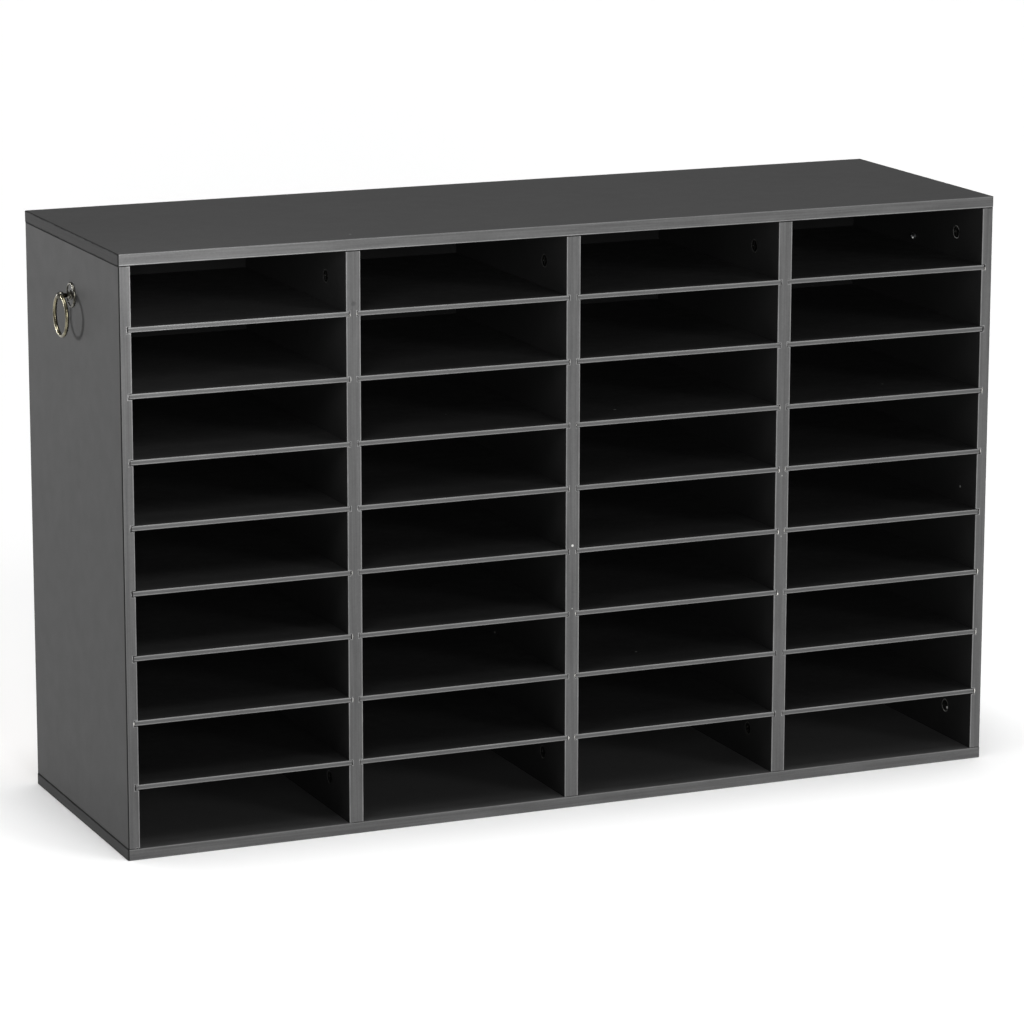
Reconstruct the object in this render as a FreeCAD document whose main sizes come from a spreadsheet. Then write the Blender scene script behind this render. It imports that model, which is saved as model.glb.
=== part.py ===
import FreeCAD, Part
import math
import os
import re

import Sketcher

# Pigeonhole mail sorter: a black cabinet that stands on the floor, with four columns of loose shelves
# between grooved uprights, a ring handle on each side and a panel at the back.
#
# Frame: X to the right, Y to the back, Z up, in millimetres. The origin is the middle of the cabinet's
# footprint on the floor, and its open front faces -Y.

# Driving sizes in millimetres, or plain counts and degrees: the cells of the document's size sheet.
SIZES = {
    "overall_width": 1000.0,
    "overall_depth": 312.0,
    "column_count": 4,
    "row_count": 9,
    "opening_height": 63.2,
    # boards
    "cap_board": 12.0,
    "side_board": 12.0,
    "divider_board": 15.5,
    "shelf_board": 5.0,
    "back_board": 3.0,
    "end_overhang": 0.9,
    "front_overhang": 0.2,
    "edge_band": 0.8,
    "band_trim": 0.15,
    "corner_radius": 2.0,
    "arris_radius": 0.4,
    # shelves in their grooves
    "groove_depth": 3.5,
    "groove_play": 0.15,
    "shelf_end_play": 0.5,
    "shelf_setback": 0.5,
    "shelf_back_gap": 1.0,
    # back panel in its grooves
    "back_inset": 8.0,
    "back_groove_width": 3.2,
    "back_groove_depth": 4.0,
    "back_panel_play": 0.3,
    # cam joints, each with a dowel beside it
    "cam_from_edge": 59.0,
    "cam_from_end": 35.0,
    "cam_bore": 15.0,
    "cam_play": 0.2,
    "cam_recess": 0.3,
    "side_cam_depth": 9.5,
    "divider_cam_depth": 12.0,
    "cam_slot_width": 7.2,
    "cam_cross_length": 9.0,
    "cam_cross_width": 1.8,
    "cam_cross_depth": 1.6,
    "bolt_bore": 8.0,
    "bolt_thread": 5.0,
    "bolt_shank": 4.6,
    "bolt_head": 6.6,
    "bolt_neck": 3.4,
    "bolt_head_length": 3.0,
    "bolt_neck_length": 4.0,
    "bolt_neck_slope": 1.0,
    "bolt_collar_length": 2.0,
    "bolt_thread_length": 9.0,
    "bolt_chamfer": 0.6,
    "thread_play": 0.05,
    "dowel_bore": 6.0,
    "dowel_length": 25.0,
    "dowel_play": 0.03,
    "dowel_chamfer": 0.8,
    "dowel_end_gap": 0.3,
    "dowel_from_cam": 32.0,
    "dowel_in_upright": 16.0,
    "cap_hole_depth": 9.7,
    # screws of the back panel
    "back_screw_rows": 4,
    "back_screw_from_end": 82.0,
    "back_screw_shank": 3.0,
    "back_screw_length": 16.0,
    "back_screw_tip": 2.5,
    "back_screw_head": 6.0,
    "back_screw_head_height": 1.6,
    "back_screw_head_edge": 0.5,
    "back_screw_crown": 3.0,
    "back_screw_cross_length": 2.8,
    "back_screw_cross_width": 0.7,
    "back_screw_cross_depth": 1.0,
    # ring handles
    "handle_drop": 66.0,
    "rosette_diameter": 26.5,
    "rosette_rim": 2.0,
    "rosette_rim_width": 1.7,
    "rosette_rounding": 1.3,
    "rosette_dish": 1.2,
    "rosette_slope": 0.8,
    "rosette_boss": 2.2,
    "rosette_boss_margin": 0.6,
    "post_spigot": 6.0,
    "post_collar": 8.0,
    "post_collar_length": 1.4,
    "post_taper": 1.8,
    "post_neck": 4.6,
    "post_ball": 8.6,
    "post_reach": 12.0,
    "eye_hole": 4.8,
    "ring_outside": 46.0,
    "ring_wire": 4.0,
    "handle_screw": 4.0,
    "handle_screw_length": 16.0,
    "handle_screw_hole": 4.6,
    "handle_screw_spare": 0.6,
    "handle_screw_chamfer": 0.6,
    "handle_screw_head": 8.0,
    "handle_screw_head_height": 2.6,
    "handle_screw_head_edge": 1.0,
    "handle_screw_crown": 4.0,
    "handle_cross_length": 4.6,
    "handle_cross_width": 1.1,
    "handle_cross_depth": 1.2,
}

# Sizes that follow from the sheet, as formulas in its words and in each other's.
DERIVED = {
    "row_pitch": "opening_height + shelf_board",
    "inner_height": "row_count * row_pitch - shelf_board",
    "overall_height": "inner_height + 2 * cap_board",
    "front_face": "-overall_depth / 2",
    "side_face": "overall_width / 2 - end_overhang",
    "inner_width": "2 * side_face - 2 * side_board",
    "opening_width": "(inner_width - (column_count - 1) * divider_board) / column_count",
    "column_pitch": "opening_width + divider_board",
    "first_divider": "side_board + opening_width - side_face",
    "upright_front": "front_face + front_overhang",
    "core_front": "upright_front + edge_band",
    "side_depth": "overall_depth / 2 - core_front",
    "back_groove_front": "overall_depth / 2 - back_inset - back_groove_width",
    "back_panel_front": "back_groove_front + (back_groove_width - back_board) / 2",
    "divider_depth": "back_panel_front - core_front",
    "shelf_width": "opening_width + 2 * (groove_depth - shelf_end_play)",
    "shelf_depth": "back_panel_front - front_face - shelf_setback - shelf_back_gap",
    "cam_y": "overall_depth / 2 - cam_from_edge",
    "dowel_y": "cam_y + dowel_from_cam",
    "half_inner": "inner_height / 2",
    "cam_z": "half_inner - cam_from_end",
    "side_middle": "side_face - side_board / 2",
    "back_screw_pitch": "(inner_height - 2 * back_screw_from_end) / (back_screw_rows - 1)",
    "handle_z": "overall_height - handle_drop",
    "ring_radius": "(ring_outside - ring_wire) / 2",
    "eye_half_width": "sqrt(post_ball ^ 2 - eye_hole ^ 2) / 2",
    # the wire bows by this much where it leaves the eye, half of it to each side of the swing axis
    "ring_bow": "(ring_radius - sqrt(ring_radius ^ 2 - eye_half_width ^ 2)) / 2",
    "collar_top": "rosette_boss + post_collar_length",
}

ARC = "arc"
LENGTH_TOLERANCE = 1e-6
EDGE_TOLERANCE = 0.02
LEAST_CUT = 1e-3
X_AXIS, Y_AXIS, Z_AXIS = (FreeCAD.Vector(*axis) for axis in ((1, 0, 0), (0, 1, 0), (0, 0, 1)))

doc = FreeCAD.newDocument("pigeonhole_mail_sorter")
sheet = doc.addObject("Spreadsheet::Sheet", "sizes")
for row, (alias, number) in enumerate(SIZES.items(), start=1):
    sheet.set(f"A{row}", alias)
    sheet.set(f"B{row}", str(number))
    sheet.setAlias(f"B{row}", alias)
doc.recompute()


# ---------------------------------------------------------------- formulas

def formula(text):
    """Write a size, or a formula in words of SIZES and DERIVED, as an expression on the sheet."""
    def word(match):
        name = match.group(0)
        if name in DERIVED:
            return f"({formula(DERIVED[name])})"
        return f"sizes.{name}" if name in SIZES else name
    return re.sub(r"[a-z_]+", word, text)


def value(text):
    """Work a formula out to a number."""
    return float(sheet.evalExpression(formula(text)))


def bind(thing, prop, text):
    """Tie a property of a document object to a formula."""
    thing.setExpression(prop, formula(text))


def place(thing, x="0", y="0", z="0", axis=Z_AXIS, angle=0):
    """Turn an object by a fixed angle and tie its position to formulas."""
    thing.Placement = FreeCAD.Placement(FreeCAD.Vector(), FreeCAD.Rotation(axis, angle))
    for letter, text in (("x", x), ("y", y), ("z", z)):
        bind(thing, f"Placement.Base.{letter}", text)


# ---------------------------------------------------------------- sketches

def new_body(label):
    body = doc.addObject("PartDesign::Body", label)
    body.Label = label
    return body


def origin_part(body, role):
    """Give one of the body's own origin planes or axes, such as XY_Plane or Z_Axis."""
    return next(part for part in body.Origin.OriginFeatures if part.Role == role)


def sketch(body, plane, offset="0"):
    """Add a sketch on an origin plane of the body, moved along the plane's normal."""
    new = body.newObject("Sketcher::SketchObject", f"{body.Name}_sketch")
    new.AttachmentSupport = [(origin_part(body, plane), "")]
    new.MapMode = "FlatFace"
    bind(new, "AttachmentOffset.Base.z", offset)
    return new


def dimension(on, kind, where, text):
    """Add a dimension and tie it to a formula."""
    number = on.addConstraint(Sketcher.Constraint(kind, *where, value(text)))
    bind(on, f"Constraints[{number}]", text)


def pin(on, where, across, up):
    """Tie a point of the sketch to its two coordinates. A zero one keeps it on the sketch's axis."""
    for kind, axis, text in (("DistanceX", -2, across), ("DistanceY", -1, up)):
        if abs(value(text)) < LENGTH_TOLERANCE:
            on.addConstraint(Sketcher.Constraint("PointOnObject", *where, axis))
        else:
            dimension(on, kind, (-1, 1, *where), text)


def arc_middle(start, end, radius):
    """Find the middle of an arc that turns left for a positive radius and right for a negative one."""
    chord = end - start
    side = FreeCAD.Vector(chord.y, -chord.x, 0).normalize()
    rise = abs(radius) - math.sqrt(radius ** 2 - (chord.Length / 2) ** 2)
    return (start + end) / 2 + side * math.copysign(rise, radius)


def outline(on, corners):
    """Draw a closed outline through corners given as pairs of formulas.

    A corner that goes on with ARC and a radius starts an arc to the next one, and any other a line.
    """
    spots = [FreeCAD.Vector(value(corner[0]), value(corner[1]), 0) for corner in corners]
    ends = []
    for here, corner in enumerate(corners):
        start, end = spots[here], spots[(here + 1) % len(spots)]
        if ARC in corner:
            radius = value(corner[3])
            index = on.addGeometry(Part.Arc(start, arc_middle(start, end, radius), end))
            ends.append((index, 1, 2) if radius > 0 else (index, 2, 1))
        else:
            ends.append((on.addGeometry(Part.LineSegment(start, end)), 1, 2))
    for here, corner in enumerate(corners):
        index, first, last = ends[here]
        after = ends[(here + 1) % len(ends)]
        on.addConstraint(Sketcher.Constraint("Coincident", index, last, after[0], after[1]))
        pin(on, (index, first), corner[0], corner[1])
        if ARC in corner:
            dimension(on, "Radius", (index,), f"abs({corner[3]})")


def rectangle(on, left, low, width, height):
    """Draw an upright rectangle from its lower left corner."""
    start = FreeCAD.Vector(value(left), value(low), 0)
    across, up = X_AXIS * value(width), Y_AXIS * value(height)
    spots = (start, start + across, start + across + up, start + up)
    first = on.GeometryCount
    for side in range(4):
        on.addGeometry(Part.LineSegment(spots[side], spots[(side + 1) % 4]))
    for side in range(4):
        on.addConstraint(Sketcher.Constraint("Coincident", first + side, 2, first + (side + 1) % 4, 1))
        on.addConstraint(Sketcher.Constraint(("Horizontal", "Vertical")[side % 2], first + side))
    pin(on, (first, 1), left, low)
    dimension(on, "DistanceX", (first, 1, first, 2), width)
    dimension(on, "DistanceY", (first + 1, 1, first + 1, 2), height)


def rounded_rectangle(on, width, height, radius):
    """Draw a rectangle with rounded corners about the sketch's origin."""
    half_width, half_height, rounding = value(width) / 2, value(height) / 2, value(radius)
    lines, arcs = [], []
    for quarter in range(4):
        turn = FreeCAD.Rotation(Z_AXIS, 90 * quarter)
        reach, rise = (half_width, half_height) if quarter % 2 == 0 else (half_height, half_width)
        start = turn * FreeCAD.Vector(rounding - reach, -rise, 0)
        end = turn * FreeCAD.Vector(reach - rounding, -rise, 0)
        centre = turn * FreeCAD.Vector(reach - rounding, rounding - rise, 0)
        circle_line = Part.Circle(centre, Z_AXIS, rounding)
        sweep_start = math.radians(90 * quarter - 90)
        lines.append(on.addGeometry(Part.LineSegment(start, end)))
        arcs.append(on.addGeometry(Part.ArcOfCircle(circle_line, sweep_start, sweep_start + math.pi / 2)))
    for quarter in range(4):
        after = lines[(quarter + 1) % 4]
        on.addConstraint(Sketcher.Constraint("Tangent", lines[quarter], 2, arcs[quarter], 1))
        on.addConstraint(Sketcher.Constraint("Tangent", arcs[quarter], 2, after, 1))
        on.addConstraint(Sketcher.Constraint(("Horizontal", "Vertical")[quarter % 2], lines[quarter]))
        if quarter:
            on.addConstraint(Sketcher.Constraint("Equal", arcs[0], arcs[quarter]))
    on.addConstraint(Sketcher.Constraint("Symmetric", arcs[0], 3, arcs[2], 3, -1, 1))
    dimension(on, "Radius", (arcs[0],), radius)
    dimension(on, "DistanceX", (lines[3], 1, lines[1], 1), width)
    dimension(on, "DistanceY", (lines[0], 1, lines[2], 1), height)


def circle(on, across, up, diameter):
    """Draw a circle."""
    middle = FreeCAD.Vector(value(across), value(up), 0)
    index = on.addGeometry(Part.Circle(middle, Z_AXIS, value(diameter) / 2))
    pin(on, (index, 3), across, up)
    dimension(on, "Diameter", (index,), diameter)


def cross(on, across, up, length, width):
    """Draw a plus sign with its middle at (across, up)."""
    arm, flank = f"({length}) / 2", f"({width}) / 2"
    quarter = [(arm, f"-{flank}"), (arm, flank), (flank, flank)]
    corners = []
    for turn in range(4):
        for step_x, step_y in quarter:
            for _ in range(turn):
                step_x, step_y = f"-({step_y})", step_x
            corners.append((f"{across} + {step_x}", f"{up} + {step_y}"))
    outline(on, corners)


# ---------------------------------------------------------------- features

def feature(body, kind, profile, length=None, back=False):
    """Add a pad, pocket or revolution of a sketch. A pocket without a length goes through."""
    new = body.newObject(f"PartDesign::{kind}", f"{body.Name}_{kind.lower()}")
    new.Profile = profile
    new.Reversed = back
    if kind == "Revolution":
        new.ReferenceAxis = (profile, ["H_Axis"])
        new.Angle = 360
    elif length is None:
        new.Type = "ThroughAll"
    else:
        bind(new, "Length", length)
    return new


def row_of(body, source, axis, pitch, count):
    """Repeat a feature along one of the body's own axes."""
    new = body.newObject("PartDesign::LinearPattern", f"{body.Name}_row")
    new.Originals = [source]
    new.Direction = (origin_part(body, axis), [""])
    new.Mode = "Spacing"
    bind(new, "Offset", pitch)
    bind(new, "Occurrences", count)
    body.Tip = new
    return new


def spread(body, source, planes, rows=()):
    """Repeat a feature in rows and mirror them all in some of the body's own origin planes."""
    new = body.newObject("PartDesign::MultiTransform", f"{body.Name}_spread")
    steps = []
    for axis, pitch, count in rows:
        step = doc.addObject("PartDesign::LinearPattern", f"{body.Name}_step")
        step.Direction = (origin_part(body, axis), [""])
        step.Mode = "Spacing"
        bind(step, "Offset", pitch)
        bind(step, "Occurrences", count)
        steps.append(step)
    for plane in planes:
        step = doc.addObject("PartDesign::Mirrored", f"{body.Name}_step")
        step.MirrorPlane = (origin_part(body, plane), [""])
        steps.append(step)
    new.Originals = [source]
    new.Transformations = steps
    body.Tip = new
    return new


def round_off(body, radius, wanted):
    """Fillet the edges of the body's last feature for which wanted(edge) is true."""
    doc.recompute()
    base = body.Tip
    names = [f"Edge{n}" for n, edge in enumerate(base.Shape.Edges, start=1) if wanted(edge)]
    new = body.newObject("PartDesign::Fillet", f"{body.Name}_fillet")
    new.Base = (base, names)
    bind(new, "Radius", radius)
    return new


def runs_along(edge, axis):
    """Say whether an edge is straight and parallel to an axis."""
    if edge.Curve.TypeId != "Part::GeomLine":
        return False
    return edge.Curve.Direction.cross(axis).Length < LENGTH_TOLERANCE


def at(edge, coordinate, text):
    """Say whether the middle of an edge has a coordinate equal to a formula's value."""
    return abs(getattr(edge.BoundBox.Center, coordinate) - value(text)) < EDGE_TOLERANCE


# ---------------------------------------------------------------- boards

def upright_places():
    """List each upright: name, left face, thickness, grooved faces and cam face (0 left, 1 right)."""
    places = [("left_side", "-side_face", "side_board", (1,), 1)]
    for column in range(1, int(value("column_count"))):
        left = f"first_divider + {column - 1} * column_pitch"
        places.append((f"divider_{column}", left, "divider_board", (0, 1), 0))
    places.append(("right_side", "side_face - side_board", "side_board", (0,), 0))
    return places


def cap_panel(label):
    """Build the top or bottom board's core, its inner face at z = 0 and its outer face above."""
    body = new_body(label)
    blank = sketch(body, "XY_Plane")
    inset = "2 * edge_band"
    rounded_rectangle(blank, f"overall_width - {inset}", f"overall_depth - {inset}",
                      "corner_radius - edge_band")
    feature(body, "Pad", blank, "cap_board")
    groove = sketch(body, "XY_Plane")
    length = "inner_width + 2 * back_groove_depth"
    rectangle(groove, f"-({length}) / 2", "back_groove_front", length, "back_groove_width")
    feature(body, "Pocket", groove, "back_groove_depth", back=True)
    for y, diameter in (("cam_y", "bolt_thread"), ("dowel_y", "dowel_bore")):
        holes = sketch(body, "XY_Plane")
        for _, left, thickness, _, _ in upright_places():
            for sign in ("", "-"):
                circle(holes, f"{left} + {thickness} / 2", f"{sign}({y})", diameter)
        feature(body, "Pocket", holes, "cap_hole_depth", back=True)
    return body


def cap_band(label):
    """Build the edging that runs round a cap board, a touch narrower than the board is thick."""
    body = new_body(label)
    blank = sketch(body, "XY_Plane", "band_trim")
    rounded_rectangle(blank, "overall_width", "overall_depth", "corner_radius")
    inset = "2 * edge_band"
    rounded_rectangle(blank, f"overall_width - {inset}", f"overall_depth - {inset}",
                      "corner_radius - edge_band")
    feature(body, "Pad", blank, "cap_board - 2 * band_trim")
    half_width, half_depth = value("overall_width / 2"), value("overall_depth / 2")
    rounding = value("corner_radius")

    def is_outer_arris(edge):
        if edge.BoundBox.ZLength > EDGE_TOLERANCE:
            return False
        if edge.Curve.TypeId == "Part::GeomCircle":
            return edge.Curve.Radius > rounding - EDGE_TOLERANCE
        middle = edge.BoundBox.Center
        return max(abs(middle.x) - half_width, abs(middle.y) - half_depth) > -EDGE_TOLERANCE

    round_off(body, "arris_radius", is_outer_arris)
    return body


def shelf_grooves(body, thickness, faces):
    """Cut the shelf grooves into the left (0) and right (1) faces of an upright."""
    for face in faces:
        profile = sketch(body, "XZ_Plane")
        left = "0" if face == 0 else f"{thickness} - groove_depth"
        rectangle(profile, left, "opening_height - groove_play", "groove_depth",
                  "shelf_board + 2 * groove_play")
        cut = feature(body, "Pocket", profile, "overall_depth")
        row_of(body, cut, "Z_Axis", "row_pitch", "row_count - 1")


def upright(name, left, thickness, faces, cam_face):
    """Build a side or a divider: grooves for the shelves, bores for the cam joints and dowels."""
    is_side = name.endswith("side")
    body = new_body(f"{name}_panel" if is_side else name)
    place(body, left, "core_front", "cap_board")
    blank = sketch(body, "XY_Plane")
    depth = "side_depth" if is_side else "divider_depth"
    rectangle(blank, "0", "0", thickness, depth)
    feature(body, "Pad", blank, "inner_height")
    shelf_grooves(body, thickness, faces)

    middle = "-(core_front)"
    bores = sketch(body, "YZ_Plane", "0" if cam_face == 0 else thickness)
    for sign in ("-", "+"):
        for end in ("cam_from_end", "inner_height - cam_from_end"):
            circle(bores, f"{middle} {sign} cam_y", end, "cam_bore")
    cam_depth = "side_cam_depth" if is_side else "divider_cam_depth"
    feature(body, "Pocket", bores, cam_depth, back=cam_face == 0)

    for y, diameter, deep in (("cam_y", "bolt_bore", "cam_from_end"),
                              ("dowel_y", "dowel_bore", "dowel_in_upright")):
        for end, at_foot in (("0", True), ("inner_height", False)):
            holes = sketch(body, "XY_Plane", end)
            for sign in ("-", "+"):
                circle(holes, f"{thickness} / 2", f"{middle} {sign} {y}", diameter)
            feature(body, "Pocket", holes, deep, back=at_foot)

    if is_side:
        groove = sketch(body, "XY_Plane")
        across = "0" if faces == (0,) else f"{thickness} - back_groove_depth"
        rectangle(groove, across, f"back_groove_front + {middle}", "back_groove_depth",
                  "back_groove_width")
        feature(body, "Pocket", groove, "inner_height", back=True)
        hole = sketch(body, "YZ_Plane")
        circle(hole, middle, "handle_z - cap_board", "handle_screw_hole")
        feature(body, "Pocket", hole, thickness, back=True)
    else:
        holes = sketch(body, "XZ_Plane", f"-({depth})")
        for row in range(int(value("back_screw_rows"))):
            circle(holes, f"{thickness} / 2", f"back_screw_from_end + {row} * back_screw_pitch",
                   "back_screw_shank")
        feature(body, "Pocket", holes, "back_screw_length", back=True)
    return body


def upright_band(name, left, thickness, faces):
    """Build the edging on an upright's front edge, notched where the grooves come out."""
    body = new_body(f"{name}_edge_band")
    place(body, left, "upright_front", "cap_board")
    blank = sketch(body, "XY_Plane")
    rectangle(blank, "0", "0", thickness, "edge_band")
    feature(body, "Pad", blank, "inner_height")
    round_off(body, "arris_radius", lambda edge: runs_along(edge, Z_AXIS) and at(edge, "y", "0"))
    shelf_grooves(body, thickness, faces)
    return body


def shelf(column, row):
    """Build one loose shelf; columns count from the left and rows from the top, both from 1."""
    body = new_body(f"shelf_col{column}_row{row}")
    x = f"-side_face + side_board + {column - 1} * column_pitch - groove_depth + shelf_end_play"
    z = f"overall_height - cap_board - {row} * row_pitch"
    place(body, x, "front_face + shelf_setback", z)
    blank = sketch(body, "XY_Plane")
    rectangle(blank, "0", "0", "shelf_width", "shelf_depth")
    feature(body, "Pad", blank, "shelf_board")
    round_off(body, "arris_radius", lambda edge: runs_along(edge, X_AXIS) and at(edge, "y", "0"))
    return body


def back_panel():
    """Build the thin panel that sits in grooves on all four sides."""
    body = new_body("back_panel")
    place(body, "0", "back_panel_front", "cap_board + half_inner")
    reach = "2 * (back_groove_depth - back_panel_play)"
    blank = sketch(body, "XZ_Plane")
    width, height = f"inner_width + {reach}", f"inner_height + {reach}"
    rectangle(blank, f"-({width}) / 2", f"-({height}) / 2", width, height)
    feature(body, "Pad", blank, "back_board", back=True)
    holes = sketch(body, "XZ_Plane")
    for _, left, thickness, faces, _ in upright_places()[1:-1]:
        for row in range(int(value("back_screw_rows"))):
            up = f"back_screw_from_end + {row} * back_screw_pitch - half_inner"
            circle(holes, f"{left} + {thickness} / 2", up, "back_screw_shank")
    feature(body, "Pocket", holes, "back_board")
    return body


# ---------------------------------------------------------------- joints and screws

def group_body(label):
    """Start a group of like fasteners, its frame in the middle of the cabinet so that it can mirror."""
    body = new_body(label)
    place(body, z="cap_board + half_inner")
    return body


def cam_locks(label, face_x, middle_x, depth, inward, rows, planes):
    """Build the cams of like uprights: discs with a mouth for the bolt's head and a cross for a driver.

    The first disc is the upper front one. Its face is at face_x, and inward is +1 or -1 along X.
    """
    body = group_body(label)
    length = f"{depth} - 2 * cam_recess"
    front = f"{face_x} + {inward} * cam_recess"
    disc = sketch(body, "YZ_Plane", front)
    circle(disc, "-cam_y", "cam_z", "cam_bore - 2 * cam_play")
    last = feature(body, "Pad", disc, length, back=inward < 0)
    mouth = sketch(body, "XZ_Plane", "cam_y")
    slot = "cam_slot_width"
    rectangle(mouth, f"{middle_x} - {slot} / 2", f"cam_z - {slot} / 2", slot, "cam_bore")
    cut_mouth = feature(body, "Pocket", mouth, slot)
    cut_mouth.Midplane = True
    marks = sketch(body, "YZ_Plane", front)
    cross(marks, "-cam_y", "cam_z", "cam_cross_length", "cam_cross_width")
    cut_cross = feature(body, "Pocket", marks, "cam_cross_depth", back=inward > 0)
    many = spread(body, last, planes, rows)
    many.Originals = [last, cut_mouth, cut_cross]
    return body


def turned(body, plane, offset, centre, corners):
    """Revolve an outline about an axis parallel to the sketch's horizontal one, through centre."""
    profile = sketch(body, plane, offset)
    bind(profile, "AttachmentOffset.Base.x", centre[0])
    bind(profile, "AttachmentOffset.Base.y", centre[1])
    outline(profile, corners)
    return feature(body, "Revolution", profile)


def upright_sets():
    """List the two kinds of upright for patterns: middle of the first one, rows and mirror planes."""
    divider_rows = (("X_Axis", "column_pitch", "column_count - 1"),)
    return (("-side_middle", (), ("YZ_Plane", "XZ_Plane", "XY_Plane")),
            ("first_divider + divider_board / 2", divider_rows, ("XZ_Plane", "XY_Plane")))


def pegs(label, y, corners):
    """Build a group of turned pegs that stand across the joints between uprights and cap boards."""
    body = group_body(label)
    for x, rows, planes in upright_sets():
        profile = sketch(body, "XZ_Plane", y)
        profile.AttachmentOffset = FreeCAD.Placement(FreeCAD.Vector(), FreeCAD.Rotation(Z_AXIS, 90))
        for letter, text in (("x", x), ("y", "half_inner"), ("z", y)):
            bind(profile, f"AttachmentOffset.Base.{letter}", text)
        outline(profile, corners)
        spread(body, feature(body, "Revolution", profile), planes, rows)
    return body


def cam_bolts():
    """Build the cam bolts; along their axis, 0 is the face of the cap board and - is the upright."""
    thread, shank, head = "bolt_thread / 2 - thread_play", "bolt_shank / 2", "bolt_head / 2"
    neck, tip, chamfer = "bolt_neck / 2", "-cam_from_end - bolt_head_length / 2", "bolt_chamfer"
    under_head = f"{tip} + bolt_head_length"
    neck_end = f"{under_head} + bolt_neck_length"
    collar = "bolt_bore / 2 - cam_play"
    return pegs("cam_bolts", "cam_y", [
        (tip, "0"), (tip, f"{head} - {chamfer}"), (f"{tip} + {chamfer}", head),
        (under_head, head), (under_head, neck), (neck_end, neck), (f"{neck_end} + bolt_neck_slope", shank),
        ("-bolt_collar_length", shank), ("-bolt_collar_length", collar), ("0", collar), ("0", thread),
        (f"bolt_thread_length - {chamfer}", thread), ("bolt_thread_length", f"{thread} - {chamfer}"),
        ("bolt_thread_length", "0")])


def dowels():
    """Build the beech dowels."""
    high = "cap_hole_depth - dowel_end_gap"
    low = f"{high} - dowel_length"
    radius = "dowel_bore / 2 - dowel_play"
    return pegs("dowels", "dowel_y", [
        (low, "0"), (low, f"{radius} - dowel_chamfer"), (f"{low} + dowel_chamfer", radius),
        (f"{high} - dowel_chamfer", radius), (high, f"{radius} - dowel_chamfer"), (high, "0")])


def back_panel_screws():
    """Build the small pan-head screws that hold the back panel to the dividers."""
    body = group_body("back_panel_screws")
    shank, head, rise = "back_screw_shank / 2 - thread_play", "back_screw_head / 2", "back_screw_head_height"
    seat, tip = "back_panel_front + back_board", "-back_screw_length"
    low = "back_screw_from_end - half_inner"
    middle = "first_divider + divider_board / 2"
    turned_screw = turned(body, "YZ_Plane", middle, (seat, low), [
        (tip, "0"), (f"{tip} + back_screw_tip", shank), ("0", shank), ("0", head),
        ("back_screw_head_edge", head), (rise, "back_screw_crown / 2"), (rise, "0")])
    marks = sketch(body, "XZ_Plane", f"-({seat} + {rise})")
    cross(marks, middle, low, "back_screw_cross_length", "back_screw_cross_width")
    cut = feature(body, "Pocket", marks, "back_screw_cross_depth", back=True)
    many = spread(body, turned_screw, (), (("X_Axis", "column_pitch", "column_count - 1"),
                                           ("Z_Axis", "back_screw_pitch", "back_screw_rows")))
    many.Originals = [turned_screw, cut]
    return body


# ---------------------------------------------------------------- ring handles

def handle(side):
    """Build a ring pull; in its own frame x = 0 is the panel's outer face and +x leads away from it."""
    sign, angle = ("-", 180) if side == "left" else ("", 0)
    spot = {"x": f"{sign}side_face", "z": "handle_z", "angle": angle}

    rosette = new_body(f"{side}_handle_rosette")
    place(rosette, **spot)
    rim, edge, rounding = "rosette_rim", "rosette_diameter / 2", "rosette_rounding"
    dish, slope, bore = "rosette_dish", "rosette_slope", "post_spigot / 2 + thread_play"
    crest = f"{edge} - rosette_rim_width"
    boss = "post_collar / 2 + rosette_boss_margin"
    turned(rosette, "XZ_Plane", "0", ("0", "0"), [
        ("0", bore), ("0", edge), (f"{rim} - {rounding}", edge, ARC, f"-{rounding}"),
        (rim, f"{edge} - {rounding}"), (rim, crest), (dish, f"{crest} - {slope}"),
        (dish, f"{boss} + {slope}"), ("rosette_boss", boss), ("rosette_boss", bore)])

    post = new_body(f"{side}_handle_post")
    place(post, **spot)
    ball, neck, eye = "post_ball / 2", "post_neck / 2", "post_reach"
    ball_start = f"{eye} - sqrt(({ball}) ^ 2 - ({neck}) ^ 2)"
    tap, spigot, collar = "handle_screw / 2", "post_spigot / 2", "post_collar / 2"
    tap_end = "handle_screw_length - side_board + handle_screw_spare"
    turned(post, "XZ_Plane", "0", ("0", "0"), [
        ("thread_play", tap), ("thread_play", spigot), ("rosette_boss", spigot), ("rosette_boss", collar),
        ("collar_top", collar), ("collar_top + post_taper", neck), (ball_start, neck, ARC, f"-{ball}"),
        (f"{eye} + {ball}", "0"), (tap_end, "0"), (tap_end, tap)])
    hole = sketch(post, "XZ_Plane")
    circle(hole, eye, "0", "eye_hole")
    through = feature(post, "Pocket", hole, "post_ball * 2")
    through.Midplane = True

    ring = doc.addObject("Part::Torus", f"{side}_handle_ring")
    ring.Label = f"{side}_handle_ring"
    bind(ring, "Radius1", "ring_radius")
    bind(ring, "Radius2", "ring_wire / 2")
    place(ring, f"{sign}(side_face + {eye})", "0", "handle_z - ring_radius + ring_bow", Y_AXIS, 90)

    screw = new_body(f"{side}_handle_screw")
    place(screw, **spot)
    shank, head = "handle_screw / 2 - thread_play", "handle_screw_head / 2"
    seat, chamfer = "-side_board", "handle_screw_chamfer"
    crown, tip = f"{seat} - handle_screw_head_height", f"{seat} + handle_screw_length"
    turned(screw, "XZ_Plane", "0", ("0", "0"), [
        (crown, "0"), (crown, "handle_screw_crown / 2"), (f"{seat} - handle_screw_head_edge", head),
        (seat, head), (seat, shank), (f"{tip} - {chamfer}", shank), (tip, f"{shank} - {chamfer}"),
        (tip, "0")])
    marks = sketch(screw, "YZ_Plane", crown)
    cross(marks, "0", "0", "handle_cross_length", "handle_cross_width")
    feature(screw, "Pocket", marks, "handle_cross_depth", back=True)
    return [rosette, post, ring, screw]


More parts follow.
